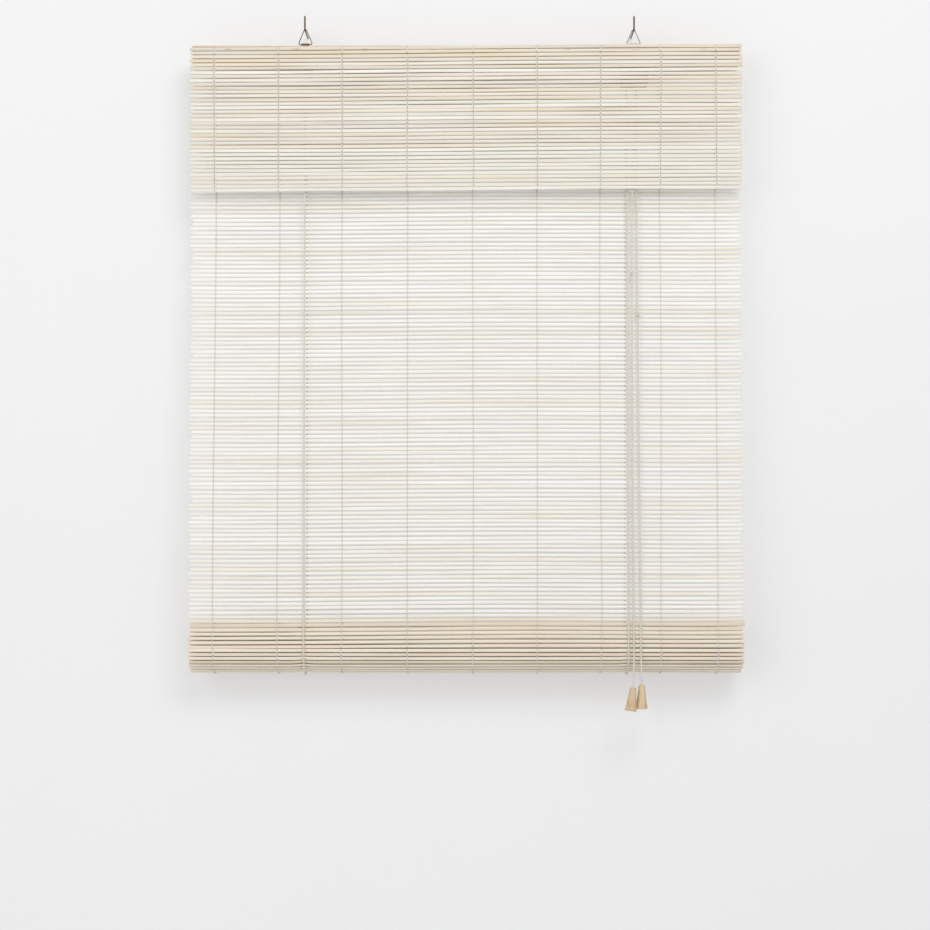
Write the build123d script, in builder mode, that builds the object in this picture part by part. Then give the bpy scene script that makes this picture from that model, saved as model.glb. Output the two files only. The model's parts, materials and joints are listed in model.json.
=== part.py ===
from build123d import *
import math
import os

# Cord-operated roll-up blind woven from flat bamboo slats, half lowered, hung by two
# triangle rings on two screw hooks. Millimetres. +X to the right as seen from the room,
# +Y into the wall, +Z up. The origin lies on the wall, midway between the two hook shanks.

# --- overall sizes -------------------------------------------------------------------
BLIND_WIDTH = 800.0
BLIND_X = -5.0                  # middle of the woven width
HOOK_X = 239.0                  # each hook, left and right of the origin
HANG_Y = -49.0                  # plane in which the blind hangs from its hooks
LIFT_CORD_X = 234.0             # each lift cord, left and right of the woven middle
CORD_R = 1.25

# --- woven slats ---------------------------------------------------------------------
SLAT_HEIGHT = 4.5
SLAT_THICKNESS = 1.6
CURTAIN_PITCH = 6.2
VALANCE_PITCH = 5.7
VALANCE_SLATS = 37
VALANCE_FIXED_SLATS = 2         # rows stapled to the headrail, above the fold
STRING_X = [-365, -272, -180, -85, 10, 103, 195, 282, 363]  # from the woven middle
STRING_WIDTH = 1.2
STRING_THICKNESS = 0.5
STRING_SPARE = 0.02             # kept between a wound string and the slats
CORD_SPARE = 0.45               # kept between the strings and a cord round the roll

# --- headrail ------------------------------------------------------------------------
RAIL_TOP = -23.5
RAIL_HEIGHT = 27.0
RAIL_DEPTH = 26.0
RAIL_BOTTOM = RAIL_TOP - RAIL_HEIGHT
RAIL_FRONT = HANG_Y - RAIL_DEPTH / 2
RAIL_BACK = HANG_Y + RAIL_DEPTH / 2
RAIL_MIDDLE = (RAIL_TOP + RAIL_BOTTOM) / 2

# --- roll of wound curtain -----------------------------------------------------------
ROLL_Y = -47.0
ROLL_Z = -898.0
ROLL_R = 37.0                   # to the outside of the outermost slats
LAYER_PITCH = 3.4
HALF_TURNS = 13
BATTEN_HEIGHT = 20.0
BATTEN_THICKNESS = 8.0

# --- curtain line, from the back of the headrail to the front of the roll -------------
CURTAIN_TOP_Y = RAIL_BACK + 2.6
CURTAIN_TOP_Z = -30.0
SLAT_PATH_R = ROLL_R - SLAT_THICKNESS / 2
CORD_PATH_R = ROLL_R + STRING_THICKNESS + CORD_SPARE + CORD_R


def slope_to_roll(y, z, radius, side):
    """Angle from the vertical of the line from (y, z) that touches a circle round the
    roll's axis, in degrees, positive towards the room; side 1 is the roll's front."""
    across = y - ROLL_Y
    down = z - ROLL_Z
    distance = math.hypot(across, down)
    return math.degrees(math.atan2(across, down) + side * math.asin(radius / distance))


def touch_point(slope, radius, side):
    """The (y, z) where a line at that slope touches the circle round the roll's axis."""
    angle = math.radians(slope)
    return (ROLL_Y - side * radius * math.cos(angle), ROLL_Z + side * radius * math.sin(angle))


CURTAIN_SLOPE = slope_to_roll(CURTAIN_TOP_Y, CURTAIN_TOP_Z, SLAT_PATH_R, 1)
CURTAIN_END = touch_point(CURTAIN_SLOPE, SLAT_PATH_R, 1)
CURTAIN_LENGTH = math.hypot(CURTAIN_TOP_Y - CURTAIN_END[0], CURTAIN_TOP_Z - CURTAIN_END[1])
CURTAIN_SLATS = int(CURTAIN_LENGTH // CURTAIN_PITCH)
CURTAIN_PLANE = Plane(
    origin=(BLIND_X, CURTAIN_END[0], CURTAIN_END[1]),
    x_dir=(1, 0, 0),
    z_dir=(0, math.sin(math.radians(CURTAIN_SLOPE)), math.cos(math.radians(CURTAIN_SLOPE))),
)
ROLL_PLANE = Plane(
    origin=(BLIND_X, ROLL_Y, ROLL_Z), x_dir=CURTAIN_PLANE.x_dir, z_dir=CURTAIN_PLANE.z_dir
)

# --- valance, hanging plumb in front of the headrail ----------------------------------
VALANCE_TOP = -24.0
FOLD_SLACK = 0.8                # each side of the fold, where the strings bend
VALANCE_Y = RAIL_FRONT - 0.1 - STRING_THICKNESS - SLAT_THICKNESS / 2

# --- hooks, rings and straps -----------------------------------------------------------
HOOK_R = 1.25
HOOK_REACH = 58.5
HOOK_RISE = 20.0
HOOK_BEND_R = 4.0
THREAD_LENGTH = 24.0
THREAD_R = 1.0                  # shank inside the wall, turned down for its thread
THREAD_PITCH = 1.6
THREAD_DEPTH = 0.35
THREAD_START = 5.0              # plain length before the first groove
THREAD_TURNS = 10
RING_WIRE_R = 0.75
RING_TOP = HOOK_R + 0.2 + RING_WIRE_R
RING_BASE = -19.6
RING_WIDTH = 21.0
STRAP_THICKNESS = 0.8
STRAP_LENGTH = 26.0
STRAP_DEPTH = 12.0
BARREL_LENGTH = 11.0
BARREL_R = 1.75
STRAP_SCREW_X = 9.5
SCREW_R = 1.1
SCREW_HEAD_R = 2.2
SCREW_HEAD_HEIGHT = 1.5
SCREW_DOME_R = (SCREW_HEAD_R**2 + SCREW_HEAD_HEIGHT**2) / (2 * SCREW_HEAD_HEIGHT)
SCREW_LENGTH = 9.0

# --- cord hardware ----------------------------------------------------------------------
LEFT_CORD_Y = -52.3             # plane of the left cord, through pulley and lock
RIGHT_CORD_Y = -46.3            # plane of the right cord, through the lock
LEFT_LIFT_X = BLIND_X - LIFT_CORD_X
RIGHT_LIFT_X = BLIND_X + LIFT_CORD_X
CROSSING_Z = -58.0              # left cord's run under the headrail
PULLEY_TURN_R = 5.3             # to the cord's centreline
ROLLER_TURN_R = 7.1
GROOVE_GAP = 0.3
AXLE_R = 1.5
BORE_CLEARANCE = 0.05
SHEET = 1.0
LOCK_X = RIGHT_LIFT_X + ROLLER_TURN_R
LOCK_WIDTH = 48.0
LOCK_DEPTH = 17.4
LOCK_BOTTOM = -82.0
OUTLET_X = LOCK_X + ROLLER_TURN_R
OUTLET_Z = -84.0
CAM_R = 7.5
CAM_OFFSET = 2.0
CAM_Z = -70.0
CAM_TEETH = 24
CAM_NOTCH_R = 0.45              # of the groove between two teeth
EYE_R = 3.0                     # screw eye, to the middle of its wire
EYE_WIRE_R = 0.8
EYE_Y = RAIL_BACK + 5.8
EYE_Z = -27.2
EYE_SHANK = 10.0
ANCHOR_KNOT_R = 2.1
ANCHOR_KNOT_HEIGHT = 6.0

# --- pull cords ---------------------------------------------------------------------------
PULL_Y = ROLL_Y - CORD_PATH_R
TASSEL_HEIGHT = 34.0
TASSEL_FOOT_R = 8.7
TASSEL_NECK_R = 4.6
TASSEL_WALL = 2.4
TASSEL_BORE = 17.5              # length of the neck's bore, down to the hollow
STOP_KNOT_R = 2.8
STOP_KNOT_HEIGHT = 6.0
# Hand-chosen routes, straight where the tassel's weight pulls them tight.
LEFT_PULL_ROUTE = [
    (OUTLET_X, LEFT_CORD_Y, OUTLET_Z),
    (235.6, -58.6, -222.0),
    (235.2, -64.2, -352.0),
    (236.5, PULL_Y, -893.0),
    (236.66, PULL_Y - 1.38, -942.0),
    (233.4, PULL_Y - 4.1, -969.2),
]
RIGHT_PULL_ROUTE = [
    (OUTLET_X, RIGHT_CORD_Y, OUTLET_Z),
    (242.8, -54.6, -240.0),
    (243.9, -63.4, -414.0),
    (246.5, PULL_Y, -894.0),
    (247.8, PULL_Y + 0.31, -940.0),
    (247.8, PULL_Y + 1.1, -966.2),
]
ROLL_POINT = 3                  # the routes' point at the front of the roll
LEFT_KNOT_DROP = 272.0          # from the lock's outlet, along the cord
RIGHT_KNOT_DROP = 331.0
KNOT_R = 3.2
KNOT_HEIGHT = 8.0

os.makedirs("parts", exist_ok=True)


def save(part, name):
    """Label one sub-part and write it to its own STEP file."""
    part.label = name
    export_step(part, f"parts/{name}.step")


def wound_place(distance):
    """Plane of a slat at that distance along the spiral from its outer end. The spiral is
    a chain of half circles about two centres that lie half a layer apart."""
    travelled = 0.0
    half_turn = 0
    radius = SLAT_PATH_R
    while travelled + math.pi * radius < distance:
        travelled += math.pi * radius
        half_turn += 1
        radius = SLAT_PATH_R - half_turn * LAYER_PITCH / 2
    turned = half_turn * math.pi + (distance - travelled) / radius
    centre = LAYER_PITCH / 2 * (half_turn % 2)
    place = Location(
        (0, centre - radius * math.cos(turned), -radius * math.sin(turned)),
        (math.degrees(turned), 0, 0),
    )
    return place


SPIRAL_LENGTH = sum(math.pi * (SLAT_PATH_R - k * LAYER_PITCH / 2) for k in range(HALF_TURNS))
OUTER_WRAP_LENGTH = math.pi * (2 * SLAT_PATH_R - LAYER_PITCH / 2)
WOUND_SLATS = int(SPIRAL_LENGTH // CURTAIN_PITCH)
OUTER_SLATS = int(OUTER_WRAP_LENGTH // CURTAIN_PITCH)

# ======================================================================================
# Wall hooks: a threaded point, a straight shank and a square upturned end
# ======================================================================================
for side, hook_x in (("left", -HOOK_X), ("right", HOOK_X)):
    with BuildPart() as wall_hook:
        with BuildLine() as hook_route:
            FilletPolyline(
                (hook_x, 0, 0),
                (hook_x, -HOOK_REACH, 0),
                (hook_x, -HOOK_REACH, HOOK_RISE),
                radius=HOOK_BEND_R,
            )
        with BuildSketch(Plane(hook_route.line @ 0, z_dir=hook_route.line % 0)):
            Circle(HOOK_R)
        sweep()
        with BuildSketch(Plane.XY):
            with BuildLine():
                Polyline(
                    (hook_x, 0),
                    (hook_x + THREAD_R, 0),
                    (hook_x + THREAD_R, THREAD_LENGTH - 2 * THREAD_R),
                    (hook_x, THREAD_LENGTH),
                    close=True,
                )
            make_face()
        revolve(axis=Axis((hook_x, 0, 0), (0, 1, 0)))
        with BuildSketch(Plane.XY):
            for turn in range(THREAD_TURNS):
                with Locations((hook_x + THREAD_R, THREAD_START + turn * THREAD_PITCH)):
                    RegularPolygon(THREAD_DEPTH, 4)
        revolve(axis=Axis((hook_x, 0, 0), (0, 1, 0)), mode=Mode.SUBTRACT)
        fillet(wall_hook.faces().sort_by(Axis.Z)[-1].edges(), HOOK_R * 0.6)
    save(wall_hook.part, f"wall_hook_{side}")

# ======================================================================================
# Triangle rings: bent wire, its ends meeting inside the strap's barrel
# ======================================================================================
RING_GAP = 0.4
RING_BEND_R = HOOK_R + 0.2 + RING_WIRE_R
RING_PEAK = 3.6                 # from the bent wire's top up to where its straight legs would meet
for side, hook_x in (("left", -HOOK_X), ("right", HOOK_X)):
    with BuildPart() as ring:
        with BuildLine(Plane(origin=(hook_x, HANG_Y, 0), x_dir=(1, 0, 0), z_dir=(0, -1, 0))) as ring_wire:
            FilletPolyline(
                (RING_GAP / 2, RING_BASE),
                (RING_WIDTH / 2, RING_BASE),
                (0, RING_TOP + RING_PEAK),
                (-RING_WIDTH / 2, RING_BASE),
                (-RING_GAP / 2, RING_BASE),
                radius=RING_BEND_R,
            )
        with BuildSketch(Plane(ring_wire.line @ 0, z_dir=ring_wire.line % 0)):
            Circle(RING_WIRE_R)
        sweep()
    save(ring.part, f"hanger_ring_{side}")

# ======================================================================================
# Hanger straps: a screwed plate with a barrel that holds the ring's base wire
# ======================================================================================
strap_top = RAIL_TOP + STRAP_THICKNESS
for side, hook_x in (("left", -HOOK_X), ("right", HOOK_X)):
    with BuildPart() as strap:
        with BuildSketch(Plane.XY.offset(RAIL_TOP)):
            with Locations((hook_x, HANG_Y)):
                RectangleRounded(STRAP_LENGTH, STRAP_DEPTH, 2.5)
            with Locations((hook_x - STRAP_SCREW_X, HANG_Y), (hook_x + STRAP_SCREW_X, HANG_Y)):
                Circle(SCREW_R, mode=Mode.SUBTRACT)
        extrude(amount=STRAP_THICKNESS)
        with BuildSketch(Plane(origin=(hook_x - BARREL_LENGTH / 2, HANG_Y, RING_BASE), x_dir=(0, 1, 0),
                               z_dir=(1, 0, 0))):
            Circle(BARREL_R)
            with Locations((0, (strap_top - RING_BASE) / 2)):
                Rectangle(1.6, RING_BASE - strap_top)
            Circle(RING_WIRE_R + 0.15, mode=Mode.SUBTRACT)
        extrude(amount=BARREL_LENGTH)
    save(strap.part, f"hanger_strap_{side}")


def screws(places, length):
    """Round-headed screws as separate solids; each place is the seat of a head, and its
    local +Z points out of the head."""
    with BuildPart() as group:
        with BuildSketch(Plane.XZ):
            with BuildLine():
                RadiusArc((SCREW_HEAD_R, 0), (0, SCREW_HEAD_HEIGHT), -SCREW_DOME_R)
                Polyline(
                    (0, SCREW_HEAD_HEIGHT),
                    (0, -length),
                    (SCREW_R - 0.05, 2.5 - length),
                    (SCREW_R - 0.05, 0),
                    (SCREW_HEAD_R, 0),
                )
            make_face()
        one = revolve(axis=Axis.Z, mode=Mode.PRIVATE)
        with Locations(*places):
            add(one)
    return group.part


strap_screw_places = [
    Location((hook_x + x, HANG_Y, strap_top))
    for hook_x in (-HOOK_X, HOOK_X)
    for x in (-STRAP_SCREW_X, STRAP_SCREW_X)
]
save(screws(strap_screw_places, SCREW_LENGTH), "hanger_strap_screws")

# ======================================================================================
# Headrail: a planed batten with rounded edges and a pilot hole for every screw
# ======================================================================================
PULLEY_X = LEFT_LIFT_X + PULLEY_TURN_R
PULLEY_BASE_LENGTH = 28.0
PULLEY_SCREW_X = 10.8
LOCK_Y = (LEFT_CORD_Y + RIGHT_CORD_Y) / 2
LOCK_MIDDLE_X = LOCK_X + 4.0
LOCK_SCREW_X = 20.5
LOCK_SCREW_Y = LOCK_Y + 4.5
hardware_screw_spots = [
    (PULLEY_X - PULLEY_SCREW_X, LEFT_CORD_Y),
    (PULLEY_X + PULLEY_SCREW_X, LEFT_CORD_Y),
    (LOCK_MIDDLE_X - LOCK_SCREW_X, LOCK_SCREW_Y),
    (LOCK_MIDDLE_X + LOCK_SCREW_X, LOCK_SCREW_Y),
]
with BuildPart() as headrail:
    with Locations((BLIND_X, HANG_Y, RAIL_MIDDLE)):
        Box(BLIND_WIDTH - 6, RAIL_DEPTH, RAIL_HEIGHT)
    fillet(headrail.edges().filter_by(Axis.X), 1.5)
    with Locations(*[Location((place.position.X, HANG_Y, RAIL_TOP)) for place in strap_screw_places]):
        Hole(SCREW_R, depth=SCREW_LENGTH)
    with Locations(*[Location((x, y, RAIL_BOTTOM), (180, 0, 0)) for x, y in hardware_screw_spots]):
        Hole(SCREW_R, depth=SCREW_LENGTH)
    with Locations(*[Location((x, RAIL_BACK, EYE_Z), (-90, 0, 0)) for x in (LEFT_LIFT_X, RIGHT_LIFT_X)]):
        Hole(EYE_WIRE_R, depth=EYE_SHANK)
save(headrail.part, "headrail")

# ======================================================================================
# Woven slats
# ======================================================================================
with BuildPart(CURTAIN_PLANE) as curtain_slats:
    with Locations(*[(0, 0, (row + 0.5) * CURTAIN_PITCH) for row in range(CURTAIN_SLATS)]):
        Box(BLIND_WIDTH, SLAT_THICKNESS, SLAT_HEIGHT)
save(curtain_slats.part, "curtain_slats")

with BuildPart(ROLL_PLANE) as roll_outer_slats:
    with Locations(*[wound_place((turn + 0.5) * CURTAIN_PITCH) for turn in range(OUTER_SLATS)]):
        Box(BLIND_WIDTH, SLAT_THICKNESS, SLAT_HEIGHT)
save(roll_outer_slats.part, "roll_outer_slats")

with BuildPart(ROLL_PLANE) as roll_inner_slats:
    with Locations(
        *[wound_place((turn + 0.5) * CURTAIN_PITCH) for turn in range(OUTER_SLATS, WOUND_SLATS)]
    ):
        Box(BLIND_WIDTH, SLAT_THICKNESS, SLAT_HEIGHT)
save(roll_inner_slats.part, "roll_inner_slats")

valance_rows = [VALANCE_TOP - SLAT_HEIGHT / 2 - row * VALANCE_PITCH for row in range(VALANCE_SLATS)]
for name, rows in (
    ("valance_top_slats", valance_rows[:VALANCE_FIXED_SLATS]),
    ("valance_slats", valance_rows[VALANCE_FIXED_SLATS:]),
):
    with BuildPart() as valance:
        with Locations(*[(BLIND_X, VALANCE_Y, z) for z in rows]):
            Box(BLIND_WIDTH, SLAT_THICKNESS, SLAT_HEIGHT)
    save(valance.part, name)

# ======================================================================================
# Weaving strings: a flat thread down the front and the back of the slats at each line
# ======================================================================================
thread_offset = (SLAT_THICKNESS + STRING_THICKNESS) / 2
curtain_string_length = CURTAIN_SLATS * CURTAIN_PITCH - 1.5
with BuildPart(CURTAIN_PLANE) as curtain_strings:
    with Locations(
        *[
            (x, across, curtain_string_length / 2 + 0.5)
            for x in STRING_X
            for across in (-thread_offset, thread_offset)
        ]
    ):
        Box(STRING_WIDTH, STRING_THICKNESS, curtain_string_length)
save(curtain_strings.part, "curtain_strings")

valance_fold = valance_rows[VALANCE_FIXED_SLATS] + VALANCE_PITCH / 2
valance_foot = valance_rows[-1] - SLAT_HEIGHT / 2
for name, top, bottom in (
    ("valance_top_strings", VALANCE_TOP, valance_fold + FOLD_SLACK),
    ("valance_strings", valance_fold - FOLD_SLACK, valance_foot),
):
    with BuildPart() as strings:
        with Locations(
            *[
                (BLIND_X + x, VALANCE_Y + across, (top + bottom) / 2)
                for x in STRING_X
                for across in (-thread_offset, thread_offset)
            ]
        ):
            Box(STRING_WIDTH, STRING_THICKNESS, top - bottom)
    save(strings.part, name)


def spiral_band(low, high):
    """Face, in the plane across the roll, of a band that follows the spiral between two
    offsets from the slats' middle line."""
    with BuildSketch(Plane.XY) as band:
        for half_turn in range(HALF_TURNS):
            middle = SLAT_PATH_R - half_turn * LAYER_PITCH / 2
            centre = LAYER_PITCH / 2 * (half_turn % 2)
            first = 180 if half_turn % 2 == 0 else 0
            with BuildLine():
                outer = CenterArc((centre, 0), middle + high, first, 180)
                inner = CenterArc((centre, 0), middle + low, first, 180)
                Line(outer @ 0, inner @ 0)
                Line(outer @ 1, inner @ 1)
            make_face()
    return band.sketch


# The strings clear the corners of the innermost slats, where the spiral is tightest.
half_slat = SLAT_THICKNESS / 2
innermost_face_r = SLAT_PATH_R - HALF_TURNS * LAYER_PITCH / 2 + half_slat
corner_rise = math.hypot(innermost_face_r, SLAT_HEIGHT / 2) - innermost_face_r
outer_offset = half_slat + corner_rise + STRING_SPARE
inner_offset = -half_slat - STRING_SPARE
roll_thread_faces = (
    spiral_band(outer_offset, outer_offset + STRING_THICKNESS),
    spiral_band(inner_offset - STRING_THICKNESS, inner_offset),
)
with BuildPart() as roll_strings:
    for x in STRING_X:
        section = Plane(
            origin=(BLIND_X + x - STRING_WIDTH / 2, ROLL_Y, ROLL_Z),
            x_dir=ROLL_PLANE.y_dir,
            z_dir=(1, 0, 0),
        )
        with BuildSketch(section):
            for face in roll_thread_faces:
                add(face)
        extrude(amount=STRING_WIDTH)
save(roll_strings.part, "roll_strings")

# ======================================================================================
# Bottom batten, wound into the middle of the roll
# ======================================================================================
with BuildPart(ROLL_PLANE) as bottom_batten:
    with Locations((0, LAYER_PITCH / 4, 0)):
        Box(BLIND_WIDTH - 4, BATTEN_THICKNESS, BATTEN_HEIGHT)
    fillet(bottom_batten.edges().filter_by(Axis.X), 2)
save(bottom_batten.part, "bottom_batten")

# ======================================================================================
# Staples that hold the valance to the headrail's front and the curtain to its back
# ======================================================================================
STAPLE_WIDTH = 9.0
STAPLE_WIRE = 0.7
STAPLE_LEG = 7.0
STAPLES = 8
STAPLE_SPACING = 98.6


def staples(crown_y, z, inward):
    """A row of staples; the crowns stand on the plane at crown_y, the legs run inward."""
    with BuildPart() as row:
        for staple in range(STAPLES):
            x = BLIND_X + (staple - (STAPLES - 1) / 2) * STAPLE_SPACING
            with Locations((x, crown_y - inward * STAPLE_WIRE / 2, z)):
                Box(STAPLE_WIDTH, STAPLE_WIRE, STAPLE_WIRE)
            with Locations(
                (x - (STAPLE_WIDTH - STAPLE_WIRE) / 2, crown_y + inward * STAPLE_LEG / 2, z),
                (x + (STAPLE_WIDTH - STAPLE_WIRE) / 2, crown_y + inward * STAPLE_LEG / 2, z),
            ):
                Box(STAPLE_WIRE, STAPLE_LEG, STAPLE_WIRE)
    return row.part


save(staples(VALANCE_Y - SLAT_THICKNESS / 2, valance_rows[0] - VALANCE_PITCH / 2, 1), "valance_staples")
staple_rise = (CURTAIN_SLATS - 2) * CURTAIN_PITCH
staple_spot = CURTAIN_PLANE.from_local_coords(Vector(0, SLAT_THICKNESS / 2, staple_rise))
save(staples(staple_spot.Y, staple_spot.Z, -1), "curtain_staples")

# ======================================================================================
# Left pulley: a bracket of bent sheet under the headrail, a grooved wheel and its rivet
# ======================================================================================
WHEEL_R = 6.3
WHEEL_WIDTH = 6.0
CHEEK_GAP = WHEEL_WIDTH + 1.0
PULLEY_Z = CROSSING_Z - PULLEY_TURN_R
PULLEY_FOOT = PULLEY_Z - WHEEL_R - 1.0
sheet_bottom = RAIL_BOTTOM - SHEET


def bracket(middle_x, middle_y, length, depth, cheek_length, foot, pins, screw_spots):
    """Base plate under the headrail with two cheeks; pins are (x, z, radius) holes
    through both cheeks."""
    with BuildPart() as body:
        with BuildSketch(Plane.XY.offset(sheet_bottom)):
            with Locations((middle_x, middle_y)):
                RectangleRounded(length, depth, 2)
            with Locations(*screw_spots):
                Circle(SCREW_R, mode=Mode.SUBTRACT)
        extrude(amount=SHEET)
        for cheek_y in (middle_y - depth / 2, middle_y + depth / 2 - SHEET):
            with BuildSketch(Plane(origin=(middle_x, cheek_y, 0), x_dir=(1, 0, 0), z_dir=(0, -1, 0))):
                with BuildLine():
                    Polyline(
                        (-cheek_length / 2, sheet_bottom),
                        (cheek_length / 2, sheet_bottom),
                        (cheek_length / 2 - 2, foot),
                        (2 - cheek_length / 2, foot),
                        close=True,
                    )
                make_face()
                for pin_x, pin_z, pin_r in pins:
                    with Locations((pin_x - middle_x, pin_z)):
                        Circle(pin_r, mode=Mode.SUBTRACT)
            extrude(amount=-SHEET)
        feet = body.edges().filter_by(Axis.Y).group_by(Axis.Z)[0]
        fillet(feet, 2.5)
    return body.part


def rivet(x, z, radius, middle_y, depth):
    """Headed pin through both cheeks of a bracket."""
    head_height = 0.8
    with BuildPart() as pin:
        with BuildSketch(Plane(origin=(x, middle_y + depth / 2 + head_height, z), x_dir=(1, 0, 0),
                               z_dir=(0, -1, 0))):
            Circle(radius * 1.6)
        extrude(amount=head_height)
        with BuildSketch(Plane(origin=(x, middle_y + depth / 2, z), x_dir=(1, 0, 0), z_dir=(0, -1, 0))):
            Circle(radius)
        extrude(amount=depth)
        with BuildSketch(Plane(origin=(x, middle_y - depth / 2, z), x_dir=(1, 0, 0), z_dir=(0, -1, 0))):
            Circle(radius * 1.6)
        extrude(amount=head_height)
        fillet(pin.faces().sort_by(Axis.Y)[0].edges(), head_height * 0.7)
        fillet(pin.faces().sort_by(Axis.Y)[-1].edges(), head_height * 0.7)
    return pin.part


def grooved_wheel(x, z, middle_y, rim_r, turn_r, width, groove_ys):
    """Wheel about a Y axis with a round-bottomed groove for each cord."""
    with BuildPart() as wheel:
        with BuildSketch(Plane(origin=(x, middle_y - width / 2, z), x_dir=(1, 0, 0), z_dir=(0, 1, 0))):
            Circle(rim_r)
            Circle(AXLE_R + BORE_CLEARANCE, mode=Mode.SUBTRACT)
        extrude(amount=width)
        for groove_y in groove_ys:
            with BuildSketch(Plane(origin=(x, groove_y, z), x_dir=(1, 0, 0), z_dir=(0, 0, 1))):
                with Locations((turn_r, 0)):
                    Circle(CORD_R + GROOVE_GAP)
                with Locations((turn_r + CORD_R + GROOVE_GAP, 0)):
                    Rectangle(2 * (CORD_R + GROOVE_GAP), 2 * (CORD_R + GROOVE_GAP))
            revolve(axis=Axis((x, groove_y, z), (0, 1, 0)), mode=Mode.SUBTRACT)
    return wheel.part


pulley_depth = CHEEK_GAP + 2 * SHEET
pulley_pin = [(PULLEY_X, PULLEY_Z, AXLE_R)]
save(
    bracket(PULLEY_X, LEFT_CORD_Y, PULLEY_BASE_LENGTH, pulley_depth, 15.0, PULLEY_FOOT, pulley_pin,
            hardware_screw_spots[:2]),
    "pulley_bracket",
)
save(
    grooved_wheel(PULLEY_X, PULLEY_Z, LEFT_CORD_Y, WHEEL_R, PULLEY_TURN_R, WHEEL_WIDTH, [LEFT_CORD_Y]),
    "pulley_wheel",
)
save(rivet(PULLEY_X, PULLEY_Z, AXLE_R, LEFT_CORD_Y, pulley_depth), "pulley_axle")

# ======================================================================================
# Cord lock: bracket, double-grooved roller, toothed cam and their pins
# ======================================================================================
ROLLER_R = ROLLER_TURN_R + 1.0
ROLLER_Z = CROSSING_Z - ROLLER_TURN_R
ROLLER_WIDTH = 13.0
CAM_X = OUTLET_X + CORD_R + 0.35 + CAM_R + CAM_OFFSET
lock_pins = [(LOCK_X, ROLLER_Z, AXLE_R), (CAM_X, CAM_Z, AXLE_R)]
save(
    bracket(LOCK_MIDDLE_X, LOCK_Y, LOCK_WIDTH + 2, LOCK_DEPTH, 42.0, LOCK_BOTTOM, lock_pins,
            hardware_screw_spots[2:]),
    "lock_bracket",
)
save(
    grooved_wheel(LOCK_X, ROLLER_Z, LOCK_Y, ROLLER_R, ROLLER_TURN_R, ROLLER_WIDTH,
                  [LEFT_CORD_Y, RIGHT_CORD_Y]),
    "lock_roller",
)
save(rivet(LOCK_X, ROLLER_Z, AXLE_R, LOCK_Y, LOCK_DEPTH), "lock_roller_pin")
save(rivet(CAM_X, CAM_Z, AXLE_R, LOCK_Y, LOCK_DEPTH), "lock_cam_pin")

with BuildPart() as lock_cam:
    cam_back = Plane(
        origin=(CAM_X, LOCK_Y + ROLLER_WIDTH / 2, CAM_Z), x_dir=(1, 0, 0), z_dir=(0, -1, 0)
    )
    with BuildSketch(cam_back):
        with Locations((-CAM_OFFSET, 0)):
            Circle(CAM_R)
            with PolarLocations(CAM_R, CAM_TEETH):
                Circle(CAM_NOTCH_R, mode=Mode.SUBTRACT)
        Circle(AXLE_R + BORE_CLEARANCE, mode=Mode.SUBTRACT)
    extrude(amount=ROLLER_WIDTH)
save(lock_cam.part, "lock_cam")

hardware_screw_places = [Location((x, y, sheet_bottom), (180, 0, 0)) for x, y in hardware_screw_spots]
save(screws(hardware_screw_places, SCREW_LENGTH), "bracket_screws")

# ======================================================================================
# Screw eyes in the headrail's back, and the knot that ties each lift cord to its eye
# ======================================================================================
KNOT_TOP_Z = EYE_Z - EYE_R - EYE_WIRE_R - 0.1
BACK_RUN_Z = KNOT_TOP_Z - ANCHOR_KNOT_HEIGHT - 0.1
for side, eye_x in (("left", LEFT_LIFT_X), ("right", RIGHT_LIFT_X)):
    with BuildPart() as eye:
        with BuildSketch(Plane(origin=(eye_x, EYE_Y, EYE_Z), x_dir=(0, 1, 0), z_dir=(0, 0, 1))):
            with Locations((EYE_R, 0)):
                Circle(EYE_WIRE_R)
        revolve(axis=Axis((eye_x, EYE_Y, EYE_Z), (1, 0, 0)))
        with BuildSketch(Plane(origin=(eye_x, EYE_Y - EYE_R, EYE_Z), x_dir=(1, 0, 0), z_dir=(0, -1, 0))):
            Circle(EYE_WIRE_R)
        extrude(amount=EYE_SHANK - 0.5)
    save(eye.part, f"cord_eye_{side}")


def knot(place):
    """Overhand knot as two closed turns round a cord that runs along the place's Z axis."""
    turn_r = KNOT_HEIGHT / 4
    with BuildPart() as body:
        with BuildSketch(Plane.XZ):
            with Locations((KNOT_R - turn_r, 0.8 * turn_r), (KNOT_R - turn_r, -0.8 * turn_r)):
                Circle(turn_r)
            with Locations((CORD_R + 0.05 - KNOT_R, 0)):
                Rectangle(2 * KNOT_R, 2 * KNOT_HEIGHT, mode=Mode.SUBTRACT)
        turned = revolve(axis=Axis.Z, mode=Mode.PRIVATE)
        with Locations(place.location):
            add(turned)
    return body.part


def round_knot(place, radius, height):
    """Small closed knot that stands on the place's origin, along its Z axis."""
    with BuildPart() as body:
        with BuildSketch(Plane.XZ):
            with BuildLine():
                FilletPolyline((0, 0), (radius, 0), (radius, height), (0, height), radius=radius * 0.45)
                Line((0, height), (0, 0))
            make_face()
        turned = revolve(axis=Axis.Z, mode=Mode.PRIVATE)
        with Locations(place.location):
            add(turned)
    return body.part


for side, eye_x in (("left", LEFT_LIFT_X), ("right", RIGHT_LIFT_X)):
    under_eye = Plane((eye_x, EYE_Y, KNOT_TOP_Z), x_dir=(1, 0, 0), z_dir=(0, 0, -1))
    save(round_knot(under_eye, ANCHOR_KNOT_R, ANCHOR_KNOT_HEIGHT), f"anchor_knot_{side}")

# ======================================================================================
# Lift cords: down behind the curtain, under the roll and up its front to the hardware
# ======================================================================================


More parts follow.
